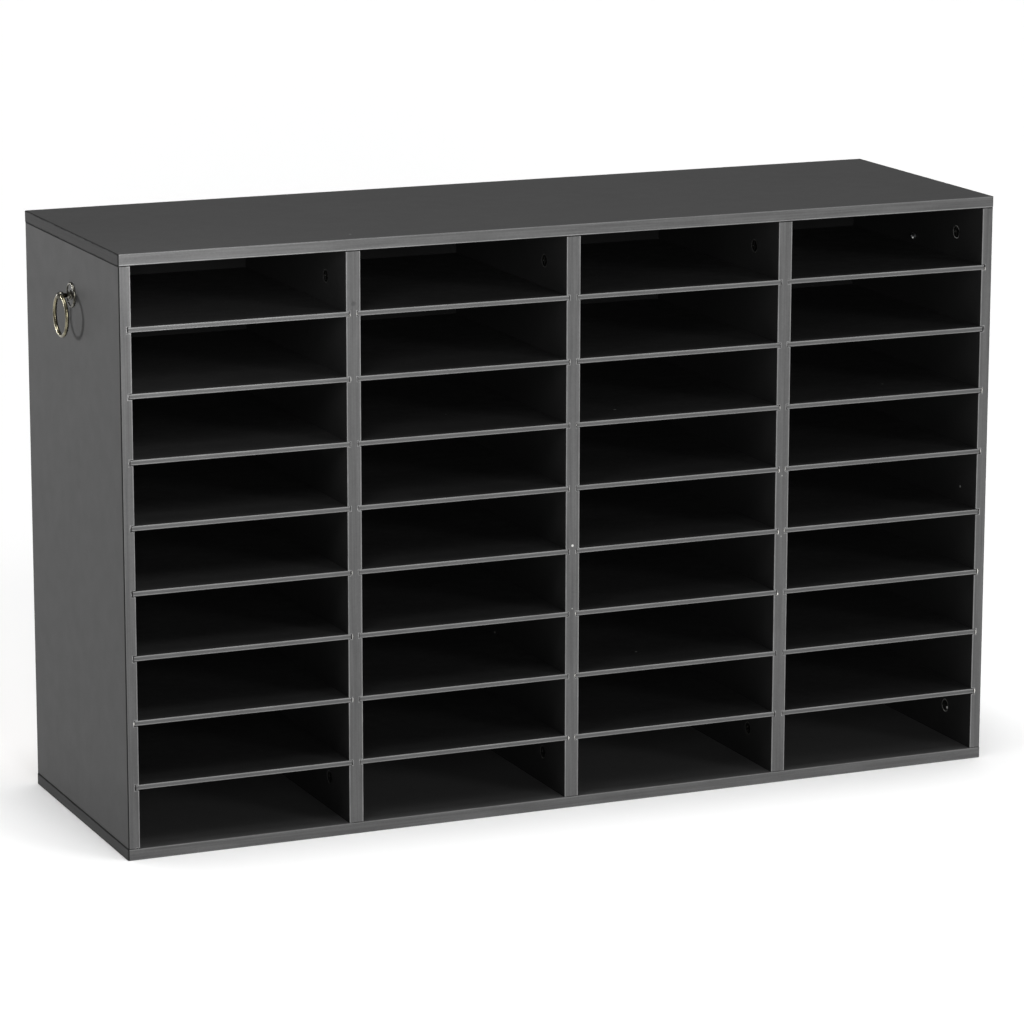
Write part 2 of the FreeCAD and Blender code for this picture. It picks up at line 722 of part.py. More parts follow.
# ---------------------------------------------------------------- the whole cabinet

def build():
    """Build every piece and list the ones that become files."""
    top, top_band = cap_panel("top_panel"), cap_band("top_edge_band")
    bottom, bottom_band = cap_panel("bottom_panel"), cap_band("bottom_edge_band")
    for piece in (top, top_band):
        place(piece, z="overall_height - cap_board")
    for piece in (bottom, bottom_band):
        place(piece, z="cap_board", axis=Y_AXIS, angle=180)
    pieces = [top, top_band, bottom, bottom_band, back_panel()]
    for name, left, thickness, faces, cam_face in upright_places():
        pieces.append(upright(name, left, thickness, faces, cam_face))
        pieces.append(upright_band(name, left, thickness, faces))
    for column in range(1, int(value("column_count")) + 1):
        for row_number in range(1, int(value("row_count"))):
            pieces.append(shelf(column, row_number))
    side_set, divider_set = upright_sets()
    pieces.append(cam_locks("side_cam_locks", "-side_face + side_board", side_set[0], "side_cam_depth", -1,
                            side_set[1], side_set[2]))
    pieces.append(cam_locks("divider_cam_locks", "first_divider", divider_set[0], "divider_cam_depth", 1,
                            divider_set[1], divider_set[2]))
    pieces += [cam_bolts(), dowels(), back_panel_screws()]
    for side in ("left", "right"):
        pieces += handle(side)
    return pieces


def check(pieces):
    """Stop if any object failed, any pocket cut nothing or any piece isn't a valid solid."""
    for thing in doc.Objects:
        if {"Invalid", "Error"} & set(thing.State):
            raise RuntimeError(f"{thing.Label} failed: {thing.State}")
        if thing.TypeId == "PartDesign::Pocket":
            if thing.BaseFeature.Shape.Volume - thing.Shape.Volume < LEAST_CUT:
                raise RuntimeError(f"{thing.Label} cuts nothing")
    for piece in pieces:
        if piece.Shape.isNull() or not piece.Shape.isValid() or not piece.Shape.Solids:
            raise RuntimeError(f"{piece.Label} is not a valid solid")


all_pieces = build()
doc.recompute()
check(all_pieces)
os.makedirs("parts", exist_ok=True)
for piece in all_pieces:
    piece.Shape.exportStep(f"parts/{piece.Label}.step")
    print(f"{piece.Label}: {len(piece.Shape.Solids)} solid(s), {piece.Shape.Volume / 1000:.2f} cm3")
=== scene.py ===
import math
import random

import bmesh
import bpy
from mathutils import Matrix, Vector


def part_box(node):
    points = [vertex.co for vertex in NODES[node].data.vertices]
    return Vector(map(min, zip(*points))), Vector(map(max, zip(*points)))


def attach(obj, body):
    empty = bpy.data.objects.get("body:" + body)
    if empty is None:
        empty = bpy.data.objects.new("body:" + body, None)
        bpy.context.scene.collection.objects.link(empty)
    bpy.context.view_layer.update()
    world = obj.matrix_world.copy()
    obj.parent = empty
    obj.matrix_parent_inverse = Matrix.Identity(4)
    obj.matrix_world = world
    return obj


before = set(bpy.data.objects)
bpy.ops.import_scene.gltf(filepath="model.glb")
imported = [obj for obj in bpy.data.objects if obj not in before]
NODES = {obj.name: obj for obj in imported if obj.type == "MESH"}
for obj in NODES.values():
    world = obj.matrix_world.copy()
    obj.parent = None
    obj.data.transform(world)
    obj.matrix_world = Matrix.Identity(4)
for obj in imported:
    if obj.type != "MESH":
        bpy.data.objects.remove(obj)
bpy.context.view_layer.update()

bl_info = {
    "name": "Pigeonhole Mail Sorter Finish",
    "version": (1, 0, 0),
    "blender": (4, 5, 0),
    "location": "3D Viewport > Sidebar > Mail Sorter",
    "description": "Finishes the boards, edging, shelves and ring handles of a black sorter",
    "category": "Object",
}

# The frame is in metres: X to the right, Y to the back, Z up, with the open front facing -Y.
# MM turns a size in millimetres to metres.
MM = 0.001
COLUMNS, ROWS = (1, 2, 3, 4), (1, 2, 3, 4, 5, 6, 7, 8)
DIVIDERS = ("divider_1", "divider_2", "divider_3")
SIDES = ("left_side", "right_side")
HANDLE_SIDES = ("left", "right")

# Planes and sizes of the CAD pieces that the finishes and small pieces are placed by, in metres.
BAND_LOW, BAND_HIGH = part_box("top_edge_band")
SIDE_LOW, SIDE_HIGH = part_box("left_side_panel")
SIDE_BAND_LOW, SIDE_BAND_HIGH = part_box("left_side_edge_band")
DIVIDER_BAND_LOW, DIVIDER_BAND_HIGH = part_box("divider_1_edge_band")
SHELF_LOW, SHELF_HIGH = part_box("shelf_col1_row1")
CABINET_HEIGHT = BAND_HIGH.z
SIDE_FACE = -SIDE_LOW.x
CAMS_LOW, CAMS_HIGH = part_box("side_cam_locks")
CAM_RADIUS = 7.3 * MM
PLANE_MARGIN = 0.4 * MM     # how far past a plane a strip on it reaches
OUTER_STRIP = 4 * MM        # outer part of the side bands that has no grooves
SHELF_END_PLAY = 0.5 * MM   # gap between a shelf's end and its groove
SHELF_MIDDLE = (SHELF_LOW + SHELF_HIGH) / 2
COLUMN_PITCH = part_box("shelf_col2_row1")[0].x - SHELF_LOW.x
ROW_PITCH = SHELF_LOW.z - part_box("shelf_col1_row2")[0].z
BRUISE_BEYOND, BRUISE_ABOVE = 0.7 * MM, 0.5 * MM  # reach of the bruised line past the cut
# The dark joint lines are partly painted shadow under the caps.
FOOT_SHARE = 0.6            # width of the joint line at the foot, against the one at the top
# The dark lines that are painted shade take this roughness too.
GRIME_ROUGHNESS = 0.95      # dirt and glue are nearly without gloss

RANDOM_SEED = 7
SHARD_STATIONS = 9
# How far a shard's five lines stand out of the band, in millimetres. The outer two are sunk in it.
SHARD_HEIGHTS = (-0.1, 0.07, 0.15, 0.03, -0.1)
# Edging torn at the groove ends: column, end of the shelf, row, then height, width, rise of the
# middle above the shelf's, and distance from the groove, all in millimetres.
TORN_EDGING = (
    (4, "right", 1, 3.5, 1.2, -1.5, 0.0),
    (4, "right", 3, 6.2, 1.1, 0.0, 0.0),
    (4, "right", 4, 4.0, 0.9, 0.5, 0.0),
    (4, "right", 6, 6.0, 1.5, 0.5, 0.0),
    (4, "right", 7, 5.5, 1.0, -0.3, 0.0),
    (4, "right", 8, 4.8, 1.8, 0.0, 0.0),
    (3, "right", 3, 3.0, 0.8, 0.0, 0.0),
    (3, "right", 4, 4.5, 1.3, -1.5, 0.0),
    (3, "right", 5, 5.0, 1.3, -1.0, 0.0),
    (3, "right", 6, 3.0, 2.0, -1.5, 0.0),
    (4, "left", 5, 3.0, 1.0, 0.0, 0.0),
    (4, "left", 4, 3.5, 0.7, 0.0, 0.0),
    (2, "right", 8, 3.5, 1.8, 0.0, 0.0),
    (2, "right", 2, 3.0, 0.7, 0.0, 0.0),
    (2, "right", 4, 3.0, 0.7, 0.0, 0.0),
    (3, "left", 6, 3.5, 1.0, 0.0, 0.0),
    (3, "left", 7, 3.0, 1.2, 0.0, 0.0),
    (3, "left", 8, 4.0, 0.9, 0.0, 0.0),
    (3, "left", 3, 2.5, 0.5, 0.0, 0.0),
    (1, "left", 7, 3.0, 1.5, 0.0, 0.0),
    (1, "right", 1, 3.0, 0.9, -1.2, 0.0),
    (1, "right", 2, 5.0, 0.6, 0.0, 0.8),
    (1, "right", 5, 5.0, 0.6, 0.0, 0.8),
    (1, "right", 6, 5.0, 0.6, 0.0, 0.8),
    (1, "right", 7, 5.0, 0.6, 0.0, 0.8),
    (2, "left", 1, 2.5, 0.9, 0.0, 0.0),
)
# Small marks: place and width in millimetres, and how strongly they show.
FILLER_MARKS = (
    ((0.0, -155.8, 288.5), 2.5, 1.0),
    ((0.0, -155.8, 219.8), 1.6, 0.4),
    ((247.4, -155.8, 343.5), 1.6, 0.4),
    ((247.4, -155.8, 276.3), 1.6, 0.3),
)
GREASE_MARKS = (((-247.4, -155.8, 565.6), 5.0, 0.5),)
# Painted highlights: matt white spots on a cam and a handle screw that stand in for glints.
PAINTED_GLINT_MARKS = (
    ((487.4, -101.2, 45.5), 3.0, 1.0),
    ((484.5, -2.0, 565.5), 2.6, 1.0),
)
LINT_MARKS = (
    ((401.4, -92.8, 421.2), 2.4, 0.8),
    ((-105.8, -60.9, 421.2), 2.0, 0.8),
    ((70.4, -107.6, 421.2), 2.4, 0.8),
    ((101.9, -98.7, 148.4), 2.4, 0.8),
    ((-7.7, 35.0, 149.9), 2.4, 0.8),
    ((487.1, -119.7, 303.9), 2.4, 0.8),
    ((-239.3, -127.1, 632.8), 2.4, 0.6),
)


def linear(hex_colour):
    """Turn an sRGB hex colour into linear red, green and blue."""
    channels = [int(hex_colour[start:start + 2], 16) / 255 for start in (0, 2, 4)]
    return [c / 12.92 if c <= 0.04045 else ((c + 0.055) / 1.055) ** 2.4 for c in channels]


def per_metre(size):
    """Give the texture scale at which one cell of a pattern is as wide as size, in metres."""
    return 1 / size


# ---------------------------------------------------------------- settings

def colour_property(name, description, hex_colour):
    """Declare a colour setting with its sRGB default."""
    return bpy.props.FloatVectorProperty(
        name=name, description=description, subtype="COLOR", size=3, min=0, max=1,
        default=linear(hex_colour))


def share_property(name, description, default):
    """Declare a setting that goes from nothing to full."""
    return bpy.props.FloatProperty(
        name=name, description=description, subtype="FACTOR", min=0, max=1, default=default)


def size_property(name, description, default):
    """Declare a length in metres."""
    return bpy.props.FloatProperty(
        name=name, description=description, subtype="DISTANCE", unit="LENGTH", min=0,
        precision=5, default=default)


class BoardSettings(bpy.types.PropertyGroup):
    """Finish of the boards, shelves and back panel."""
    outer_colour: colour_property("Outer faces", "Melamine on the top and the bottom", "373737")
    # Painted shade: the melamine inside the pigeonholes is a darker copy of the same paper outside.
    inner_colour: colour_property("Inner faces", "Melamine inside the pigeonholes", "1D1D1D")
    # Painted shade: the outer faces of the sides are a darker copy of the caps' melamine.
    shaded_side_colour: colour_property("Sides", "Melamine on the outside of the sides", "292929")
    side_gloss: share_property("Side gloss", "Specular level of the melamine on the sides", 0.15)
    cap_inner_colour: colour_property(
        "Inner faces of the caps", "Melamine under the top and on the bottom board", "3A3A3A")
    shelf_colour: colour_property("Shelf faces", "Foil on the faces of the shelves", "222222")
    shelf_edge_colour: colour_property("Shelf edges", "Front edges of the shelves", "494949")
    # Painted highlight: the pale arrises stand in for the light they catch, along with wear.
    shelf_arris_highlight_colour: colour_property("Shelf arrises", "Worn arrises of those edges", "767676")
    scuff_colour: colour_property("Scuffs", "Traces of sliding paper on the foil", "363636")
    # Painted shade: the sawn ends are painted dark for the shade in the gaps at the groove ends.
    shaded_sawn_colour: colour_property("Sawn fibre", "Stained fibre at the ends of the shelves", "1E1A16")
    lint_colour: colour_property("Lint", "Dust and fibres on the boards", "9A9A98")
    # This dark colour also paints the shadow under the caps, at the top and foot of the uprights.
    seam_and_shade_colour: colour_property("Glue seam", "Dark line beside the edging", "161616")
    lacquer_colour: colour_property("Lacquer", "Smooth front side of the back panel", "161616")
    # Painted shade: grooves and bores are painted nearly black for the shade inside them.
    shaded_cut_colour: colour_property(
        "Grooves and bores", "Stained core where the boards are cut", "191614")
    flake_colour: colour_property("Tan flakes", "Darker flakes of the bare core", "8A6A48")
    pale_flake_colour: colour_property("Pale flakes", "Lighter flakes of the bare core", "C7A67A")
    hardboard_colour: colour_property(
        "Back of hardboard", "Bare mesh side of the back panel", "6E5138")
    mesh_pit_colour: colour_property("Mesh pits", "Hollows of the mesh imprint", "3C2A1C")
    roughness: share_property("Board roughness", "Roughness of the melamine", 0.55)
    gloss: share_property("Board gloss", "Specular level of the melamine", 0.25)
    cloud_size: size_property("Cloud size", "Width of the soft light and dark areas", 70 * MM)
    pearl_size: size_property(
        "Pearl grain", "Width of the pressed grain, drawn coarser to show", 1.6 * MM)
    seam_width: size_property("Glue seam", "Width of the dark line beside the edging", 1.5 * MM)
    # Painted shadow: the joint line is partly the shade under the cap's overhang.
    joint_and_shadow_width: size_property("Joint line", "Dark line between a side and the top", 1.4 * MM)


class EdgingSettings(bpy.types.PropertyGroup):
    """Finish of the edge bands and their damage."""
    colour: colour_property("Edging", "Front edges of the boards", "474747")
    # Painted shade: the faces of the edging that look out to the sides are a darker copy of the
    # front's colour.
    shaded_side_colour: colour_property(
        "Edging on the sides", "Side edges of the top and bottom", "242424")
    # Painted highlight: the pale arris line stands in for the light the arris catches, along with
    # trimmer wear.
    rubbed_and_highlight_colour: colour_property("Rubbed arris", "Pale line along trimmed edges", "767676")
    # This dark colour also paints the shade round the grooves and under the caps.
    seam_and_shade_colour: colour_property("Seams", "Dark lines where bands meet", "141414")
    grease_colour: colour_property("Grease", "Dark spots left by hands", "262626")
    bruise_colour: colour_property("Bruised rims", "Pale plastic beside the grooves", "8E8E8E")
    torn_colour: colour_property(
        "Torn edging", "Broken plastic at the ends of the grooves", "B9B7B2")
    filler_colour: colour_property("Filler spots", "Dots of filler on the dividers", "B5B5B2")
    rub_and_highlight_width: size_property("Rubbed width", "Width of the pale line", 1.0 * MM)
    streak_width: size_property("Streak width", "Width of the streaks along the band", 1.8 * MM)
    # Painted shadow: the joint line is partly the shade where the band meets the cap.
    joint_and_shadow_width: size_property("Joint line", "Dark line between two bands", 1.0 * MM)
    roughness: share_property("Edging roughness", "Roughness of the front edging", 0.5)
    side_roughness: share_property("Side roughness", "Roughness of the side edging", 0.72)
    gloss: share_property("Edging gloss", "Specular level of the edging", 0.2)


class HandleSettings(bpy.types.PropertyGroup):
    """Finish of the ring handles."""
    brass_colour: colour_property("Bright brass", "Brass where hands rub it", "B4AD92")
    patina_colour: colour_property("Patina", "Darkened brass", "4E4A3B")
    recess_colour: colour_property("Recesses", "Brown left in the hollows", "16140F")
    rosette_rubbed_colour: colour_property(
        "Bright rosette", "Rubbed metal of the rosettes and posts", "ACAAA0")
    rosette_colour: colour_property(
        "Rosette patina", "Darker metal of the rosettes and posts", "3E3C34")
    ring_wear: share_property("Ring wear", "How far the rings' patina is rubbed through", 0.24)
    rosette_wear: share_property("Rosette wear", "The same for the rosettes and posts", 0.1)


class FastenerSettings(bpy.types.PropertyGroup):
    """Finish of the cams, bolts, dowels and screws."""
    cam_colour: colour_property("Side cams", "Aged zinc of the cams in the sides", "4A4A48")
    # Painted highlight: the pale rims of both kinds of cam stand in for light caught at the edge of
    # the bore.
    cam_rim_highlight_colour: colour_property("Side cam rims", "Where the bore scraped them", "9C9C9A")
    dark_cam_colour: colour_property("Divider cams", "Cams in the dividers", "3A3A38")
    dark_cam_rim_highlight_colour: colour_property("Divider cam rims", "Their scraped rims", "3C3C3B")
    steel_colour: colour_property("Plated steel", "Zinc plating of bolts and screws", "A2A4A6")
    # Painted highlights: matt white spots that stand in for glints.
    painted_glint_colour: colour_property("Glints", "Bright spots on bare metal", "F2F2F0")
    beech_colour: colour_property("Beech", "Wood of the dowels", "D0A878")


class StudioSettings(bpy.types.PropertyGroup):
    """Floor, lights and camera."""
    floor_colour: colour_property("Floor", "Seamless paper floor", "F4F4F4")
    sky_strength: bpy.props.FloatProperty(
        name="Sky", description="Strength of the even light", min=0, default=0.15)
    focal_length: bpy.props.FloatProperty(
        name="Focal length", description="Lens of the camera", subtype="DISTANCE_CAMERA",
        unit="CAMERA", min=10, default=155.9)
    place: bpy.props.FloatVectorProperty(
        name="Camera place", description="Where the camera stands", subtype="TRANSLATION",
        unit="LENGTH", size=3, default=(-1.8758, -4.3317, 1.3577))
    yaw: bpy.props.FloatProperty(
        name="Yaw", description="Turn to the right of straight ahead", subtype="ANGLE",
        unit="ROTATION", default=0.40816)
    pitch: bpy.props.FloatProperty(
        name="Pitch", description="Tilt below the horizon", subtype="ANGLE",
        unit="ROTATION", default=0.2219)
    roll: bpy.props.FloatProperty(
        name="Roll", description="Turn about the line of sight", subtype="ANGLE",
        unit="ROTATION", default=0.00158)


# ---------------------------------------------------------------- materials

# Node settings that serve for masks: TIMES keeps where both are 1, and LARGER where either is.
TIMES, LARGER = {"operation": "MULTIPLY"}, {"operation": "MAXIMUM"}
# Most values of a noise texture lie between these.
NOISE_LOW, NOISE_HIGH = 0.3, 0.7


def new_material(name):
    """Make an empty node material."""
    material = bpy.data.materials.new(name)
    material.use_nodes = True
    material.node_tree.nodes.clear()
    return material


def add_node(owner, kind, settings=None, inputs=None):
    """Add a node to a material or world and give its outputs.

    An input takes a value or the output of another node.
    """
    tree = owner.node_tree
    node = tree.nodes.new(kind)
    for name, value in (settings or {}).items():
        setattr(node, name, value)
    for name, value in (inputs or {}).items():
        socket = node.inputs[name]
        if isinstance(value, bpy.types.NodeSocket):
            tree.links.new(value, socket)
        elif socket.type == "RGBA":
            socket.default_value = (*value[:3], 1)
        else:
            socket.default_value = value
    return node.outputs


def close_material(material, inputs):
    """Add the shader with its inputs and send it to the surface."""
    shader = add_node(material, "ShaderNodeBsdfPrincipled", inputs=inputs)
    add_node(material, "ShaderNodeOutputMaterial", inputs={"Surface": shader["BSDF"]})
    return material


def clouds(material, position, size, low, high, stretch=(1, 1, 1), detail=2.0):
    """Give a factor that drifts between low and high, in patches or, stretched, in streaks."""
    drawn_out = add_node(material, "ShaderNodeVectorMath", TIMES, {0: position, 1: stretch})
    noise = add_node(material, "ShaderNodeTexNoise", inputs={
        "Vector": drawn_out["Vector"], "Scale": per_metre(size), "Detail": detail})
    return add_node(material, "ShaderNodeMapRange", inputs={
        "Value": noise["Fac"], "From Min": NOISE_LOW, "From Max": NOISE_HIGH,
        "To Min": low, "To Max": high})[0]


def mottled(material, colour, position, size, low, high, stretch=(1, 1, 1), detail=2.0):
    """Make a colour lighter and darker in patches or streaks."""
    factor = clouds(material, position, size, low, high, stretch, detail)
    return add_node(material, "ShaderNodeVectorMath", {"operation": "SCALE"},
                    {0: colour, "Scale": factor})["Vector"]


def patchy(material, mask, position, size, low, high):
    """Wear a mask away unevenly."""
    factor = clouds(material, position, size, low, high)
    return add_node(material, "ShaderNodeMath", TIMES, {0: mask, 1: factor})[0]


def layered(material, colour, *layers):
    """Lay further colours over a colour, each where its mask is 1."""
    for mask, over in layers:
        colour = add_node(material, "ShaderNodeMix", {"data_type": "RGBA"},
                          {0: mask, 6: colour, 7: over})[2]
    return colour


def raised(material, value, *rises):
    """Raise a value to further levels, each where its mask is 1."""
    for mask, level in rises:
        share = add_node(material, "ShaderNodeMath", TIMES, {0: mask, 1: level})
        value = add_node(material, "ShaderNodeMath", LARGER, {0: value, 1: share[0]})[0]
    return value


def within(material, *limits):
    """Give 1 where each value is between its two limits, or past the only one, and 0 elsewhere."""
    mask = 1.0
    for value, low, high in limits:
        for operation, limit in (("GREATER_THAN", low), ("LESS_THAN", high)):
            if limit is not None:
                passed = add_node(material, "ShaderNodeMath", {"operation": operation},
                                  {0: value, 1: limit})
                mask = add_node(material, "ShaderNodeMath", TIMES, {0: passed[0], 1: mask})[0]
    return mask


def soft_edges(material, *edges):
    """Give a mask that rises softly as each value goes from clear to full, up to a strength."""
    mask = 0.0
    for value, clear, full, strength in edges:
        rise = add_node(material, "ShaderNodeMapRange", {"interpolation_type": "SMOOTHSTEP"}, {
            "Value": value, "From Min": clear, "From Max": full, "To Max": strength})
        mask = add_node(material, "ShaderNodeMath", LARGER, {0: rise[0], 1: mask})[0]
    return mask


def marks(material, position, places):
    """Give a mask of small soft round marks, from their places, widths and strengths."""
    edges = []
    for place, width, strength in places:
        away = add_node(material, "ShaderNodeVectorMath", {"operation": "DISTANCE"},
                        {0: position, 1: [c * MM for c in place]})["Value"]
        edges.append((away, 0.7 * width * MM, 0.3 * width * MM, strength))
    return soft_edges(material, *edges)


def specks(material, position, spacing, size, share):
    """Give 1 in small round specks, in a share of the cells of a loose grid."""
    cells = add_node(material, "ShaderNodeTexVoronoi", inputs={
        "Vector": position, "Scale": per_metre(spacing)})
    chance = add_node(material, "ShaderNodeSeparateXYZ", inputs={0: cells["Color"]})
    return within(material, (cells["Distance"], None, size / spacing / 2),
                  (chance["X"], None, share))


def seam_lines(material, place, seams):
    """Give 1 in strips across the object, each an axis with its two limits in metres."""
    return raised(material, 0.0, *(
        (within(material, (place[axis], low, high)), 1.0) for axis, low, high in seams))


def groove_rims(material, position, place, cut_width):
    """Give two masks for the rims where the shelf grooves come out.

    One is the dark cut, painted shade round the gap at a shelf's end, and the other the pale
    line beside it, where the cutter bruised the plastic. Both are broken up unevenly.
    """
    jitter = clouds(material, position, size=1.6 * MM, low=-0.35 * MM, high=0.35 * MM)
    across, along = place["X"], place["Z"]
    for operation, sideways, upward in (
            ("SUBTRACT", SHELF_MIDDLE.x, SHELF_MIDDLE.z),
            ("PINGPONG", COLUMN_PITCH / 2, ROW_PITCH / 2),
            ("ADD", jitter, jitter)):
        across, along = (
            add_node(material, "ShaderNodeMath", {"operation": operation}, {0: value, 1: by})[0]
            for value, by in ((across, sideways), (along, upward)))
    reach = SHELF_HIGH.x - SHELF_MIDDLE.x + SHELF_END_PLAY
    rise = SHELF_HIGH.z - SHELF_MIDDLE.z
    cut, bruise = (
        within(material, (place["X"], SIDE_LOW.x + OUTER_STRIP, SIDE_FACE - OUTER_STRIP),
               (across, None, reach + beyond), (along, None, rise + above))
        for beyond, above in ((cut_width, cut_width),
                              (cut_width + BRUISE_BEYOND, cut_width + BRUISE_ABOVE)))
    cut = patchy(material, cut, position, size=5 * MM, low=-0.4, high=2.4)
    cut = add_node(material, "ShaderNodeMath", {"operation": "MINIMUM"}, {0: cut, 1: 1.0})[0]
    return cut, patchy(material, bruise, position, size=2.5 * MM, low=0.0, high=0.8)


def grain_bump(material, position, size, height, strength):
    """Give a normal that follows a fine even grain."""
    noise = add_node(material, "ShaderNodeTexNoise", inputs={
        "Vector": position, "Scale": per_metre(size), "Detail": 2.0})
    return add_node(material, "ShaderNodeBump", inputs={
        "Height": noise["Fac"], "Distance": height, "Strength": strength})["Normal"]


def pressed_flakes(material, position):
    """Give the colour of bare chipboard: pressed pale and tan flakes, about 2 mm wide."""
    look = bpy.context.scene.sorter_boards
    cells = add_node(material, "ShaderNodeTexVoronoi", inputs={
        "Vector": position, "Scale": per_metre(2.2 * MM)})
    tone = add_node(material, "ShaderNodeSeparateXYZ", inputs={0: cells["Color"]})
    flakes = layered(material, look.flake_colour, (tone["X"], look.pale_flake_colour))
    return mottled(material, flakes, position, size=9 * MM, low=0.75, high=1.1)


def melamine_faced_chipboard(name, across, outer_colour, inner_colour, gloss, seams):
    """Particle board with black melamine paper pressed on both faces.

    The paper gives a matt black with a fine pearl grain, very soft clouds and a few specks of
    lint. The uprights get a darker copy of it on their outer faces and a darker one again inside
    the pigeonholes, which is painted shade. Rear edges show the bare tan core, and grooves and
    bores are painted nearly black, which is painted shade in the cuts. Across is the axis through
    the board, and seams are the strips of dark glue line beside the edging and, on the uprights,
    the dark lines at the top and foot, partly joint and partly painted shadow under the caps,
    each an axis with its two limits in metres.
    """
    look = bpy.context.scene.sorter_boards
    material = new_material(name)
    texture = add_node(material, "ShaderNodeTexCoord")
    position = texture["Object"]
    place = add_node(material, "ShaderNodeSeparateXYZ", inputs={0: position})
    share = add_node(material, "ShaderNodeSeparateXYZ", inputs={0: texture["Generated"]})
    inside = within(material, (place["X"], PLANE_MARGIN - SIDE_FACE, SIDE_FACE - PLANE_MARGIN),
                    (place["Z"], PLANE_MARGIN, CABINET_HEIGHT - PLANE_MARGIN))
    # Painted shade: the inner faces get a darker colour than the outer ones on the uprights.
    paper = layered(material, outer_colour, (inside, inner_colour))
    paper = mottled(material, paper, position, size=look.cloud_size, low=0.975, high=1.025)
    paper = mottled(material, paper, position, size=look.pearl_size, low=0.9, high=1.1)
    stray_lint = specks(material, position, spacing=45 * MM, size=1.2 * MM, share=0.08)
    lint = raised(material, marks(material, position, LINT_MARKS), (stray_lint, 0.3))
    seam = seam_lines(material, place, seams)
    core = within(material, (share[across], 0.02, 0.98))
    rear = within(material, (place["Y"], SIDE_HIGH.y - 1 * MM, SIDE_HIGH.y + 1 * MM))
    # Painted shade: the cut faces are nearly black, save the bare flakes on the rear edges.
    cut = layered(material, look.shaded_cut_colour, (rear, pressed_flakes(material, position)))
    roughness = clouds(material, position, size=25 * MM,
                       low=look.roughness - 0.02, high=look.roughness + 0.02)
    return close_material(material, {
        "Base Color": layered(material, paper, (lint, look.lint_colour), (seam, look.seam_and_shade_colour),
                              (core, cut)),
        "Roughness": raised(material, roughness, (seam, GRIME_ROUGHNESS)),
        "Specular IOR Level": gloss,
        "Normal": grain_bump(
            material, position, size=look.pearl_size, height=0.06 * MM, strength=0.35)})


def abs_edge_band(name, across, width, run, rub_and_highlight_low, rub_and_highlight_high, seams, cut_width):
    """ABS edging, glued on and trimmed flush.

    It is smoother and greyer than the board, with faint streaks along its length from the
    calender. Its faces that look out to the sides take a darker copy of the front's colour,
    which is painted shade. The pale line on each front arris is partly trimmer wear and partly
    painted highlight, where the arris catches the light. The side faces are darker beside both
    arrises, a dark glue line shows where two bands meet, and the dark lines at the top and foot
    of the uprights' bands are partly joint and partly painted shadow under the caps.

    Across is the axis over the band's width, which is in metres, and run holds the three axis
    factors that draw the streaks out. The low and high arris strengths say how pale each arris
    line is, wear and painted highlight together, and seams are strips of glue line and painted
    shadow, each an axis with its limits in metres. Cut_width is that of the dark rim round the
    shelf grooves, which is painted shade, and 0 stands for a band without grooves.
    """
    look = bpy.context.scene.sorter_edging
    material = new_material(name)
    texture = add_node(material, "ShaderNodeTexCoord")
    position = texture["Object"]
    place = add_node(material, "ShaderNodeSeparateXYZ", inputs={0: position})
    over = add_node(material, "ShaderNodeSeparateXYZ", inputs={0: texture["Generated"]})[across]
    rub = look.rub_and_highlight_width / width
    front = within(material, (place["X"], -SIDE_FACE, SIDE_FACE))
    side = within(material, (front, None, 0.5))
    # Painted highlight: the pale arris lines are partly light caught on the arrises and partly
    # trimmer wear.
    arris = soft_edges(material, (over, 1.5 * rub, 0.5 * rub, rub_and_highlight_low),
                       (over, 1 - 1.5 * rub, 1 - 0.5 * rub, rub_and_highlight_high))
    front_arris = add_node(material, "ShaderNodeMath", TIMES, {0: arris, 1: front})[0]
    rubbed = patchy(material, front_arris, position, size=18 * MM, low=0.55, high=1.0)
    # The side faces are darker beside both arrises.
    flat = within(material, (over, rub, 1 - rub))
    dark_side_arrises = patchy(material, within(material, (flat, None, 0.5), (front, None, 0.5)),
                   position, size=18 * MM, low=0.7, high=1.0)
    # Painted shade: the side faces of the edging take the darker side colour.
    plastic = layered(material, look.shaded_side_colour, (front, look.colour))
    plastic = mottled(
        material, plastic, position, size=look.streak_width, low=0.8, high=1.2, stretch=run)
    plastic = mottled(material, plastic, position, size=40 * MM, low=0.96, high=1.04)
    plastic = mottled(material, plastic, position, size=1.8 * MM, low=0.93, high=1.07)
    layers = [(rubbed, look.rubbed_and_highlight_colour), (dark_side_arrises, look.seam_and_shade_colour),
              (marks(material, position, GREASE_MARKS), look.grease_colour)]
    dark = seam_lines(material, place, seams)
    if cut_width:
        cut, bruise = groove_rims(material, position, place, cut_width)
        layers.append((bruise, look.bruise_colour))
        # Painted shade: the dark rim round each groove.
        dark = raised(material, dark, (cut, 1.0))
    layers += [(dark, look.seam_and_shade_colour),
               (marks(material, position, FILLER_MARKS), look.filler_colour)]
    roughness = clouds(material, position, size=12 * MM,
                       low=look.roughness - 0.03, high=look.roughness + 0.03)
    return close_material(material, {
        "Base Color": layered(material, plastic, *layers),
        "Roughness": raised(material, roughness, (side, look.side_roughness),
                            (dark_side_arrises, GRIME_ROUGHNESS), (dark, GRIME_ROUGHNESS)),
        "Specular IOR Level": look.gloss,
        "Normal": grain_bump(material, position, size=1.1 * MM, height=0.03 * MM, strength=0.3)})


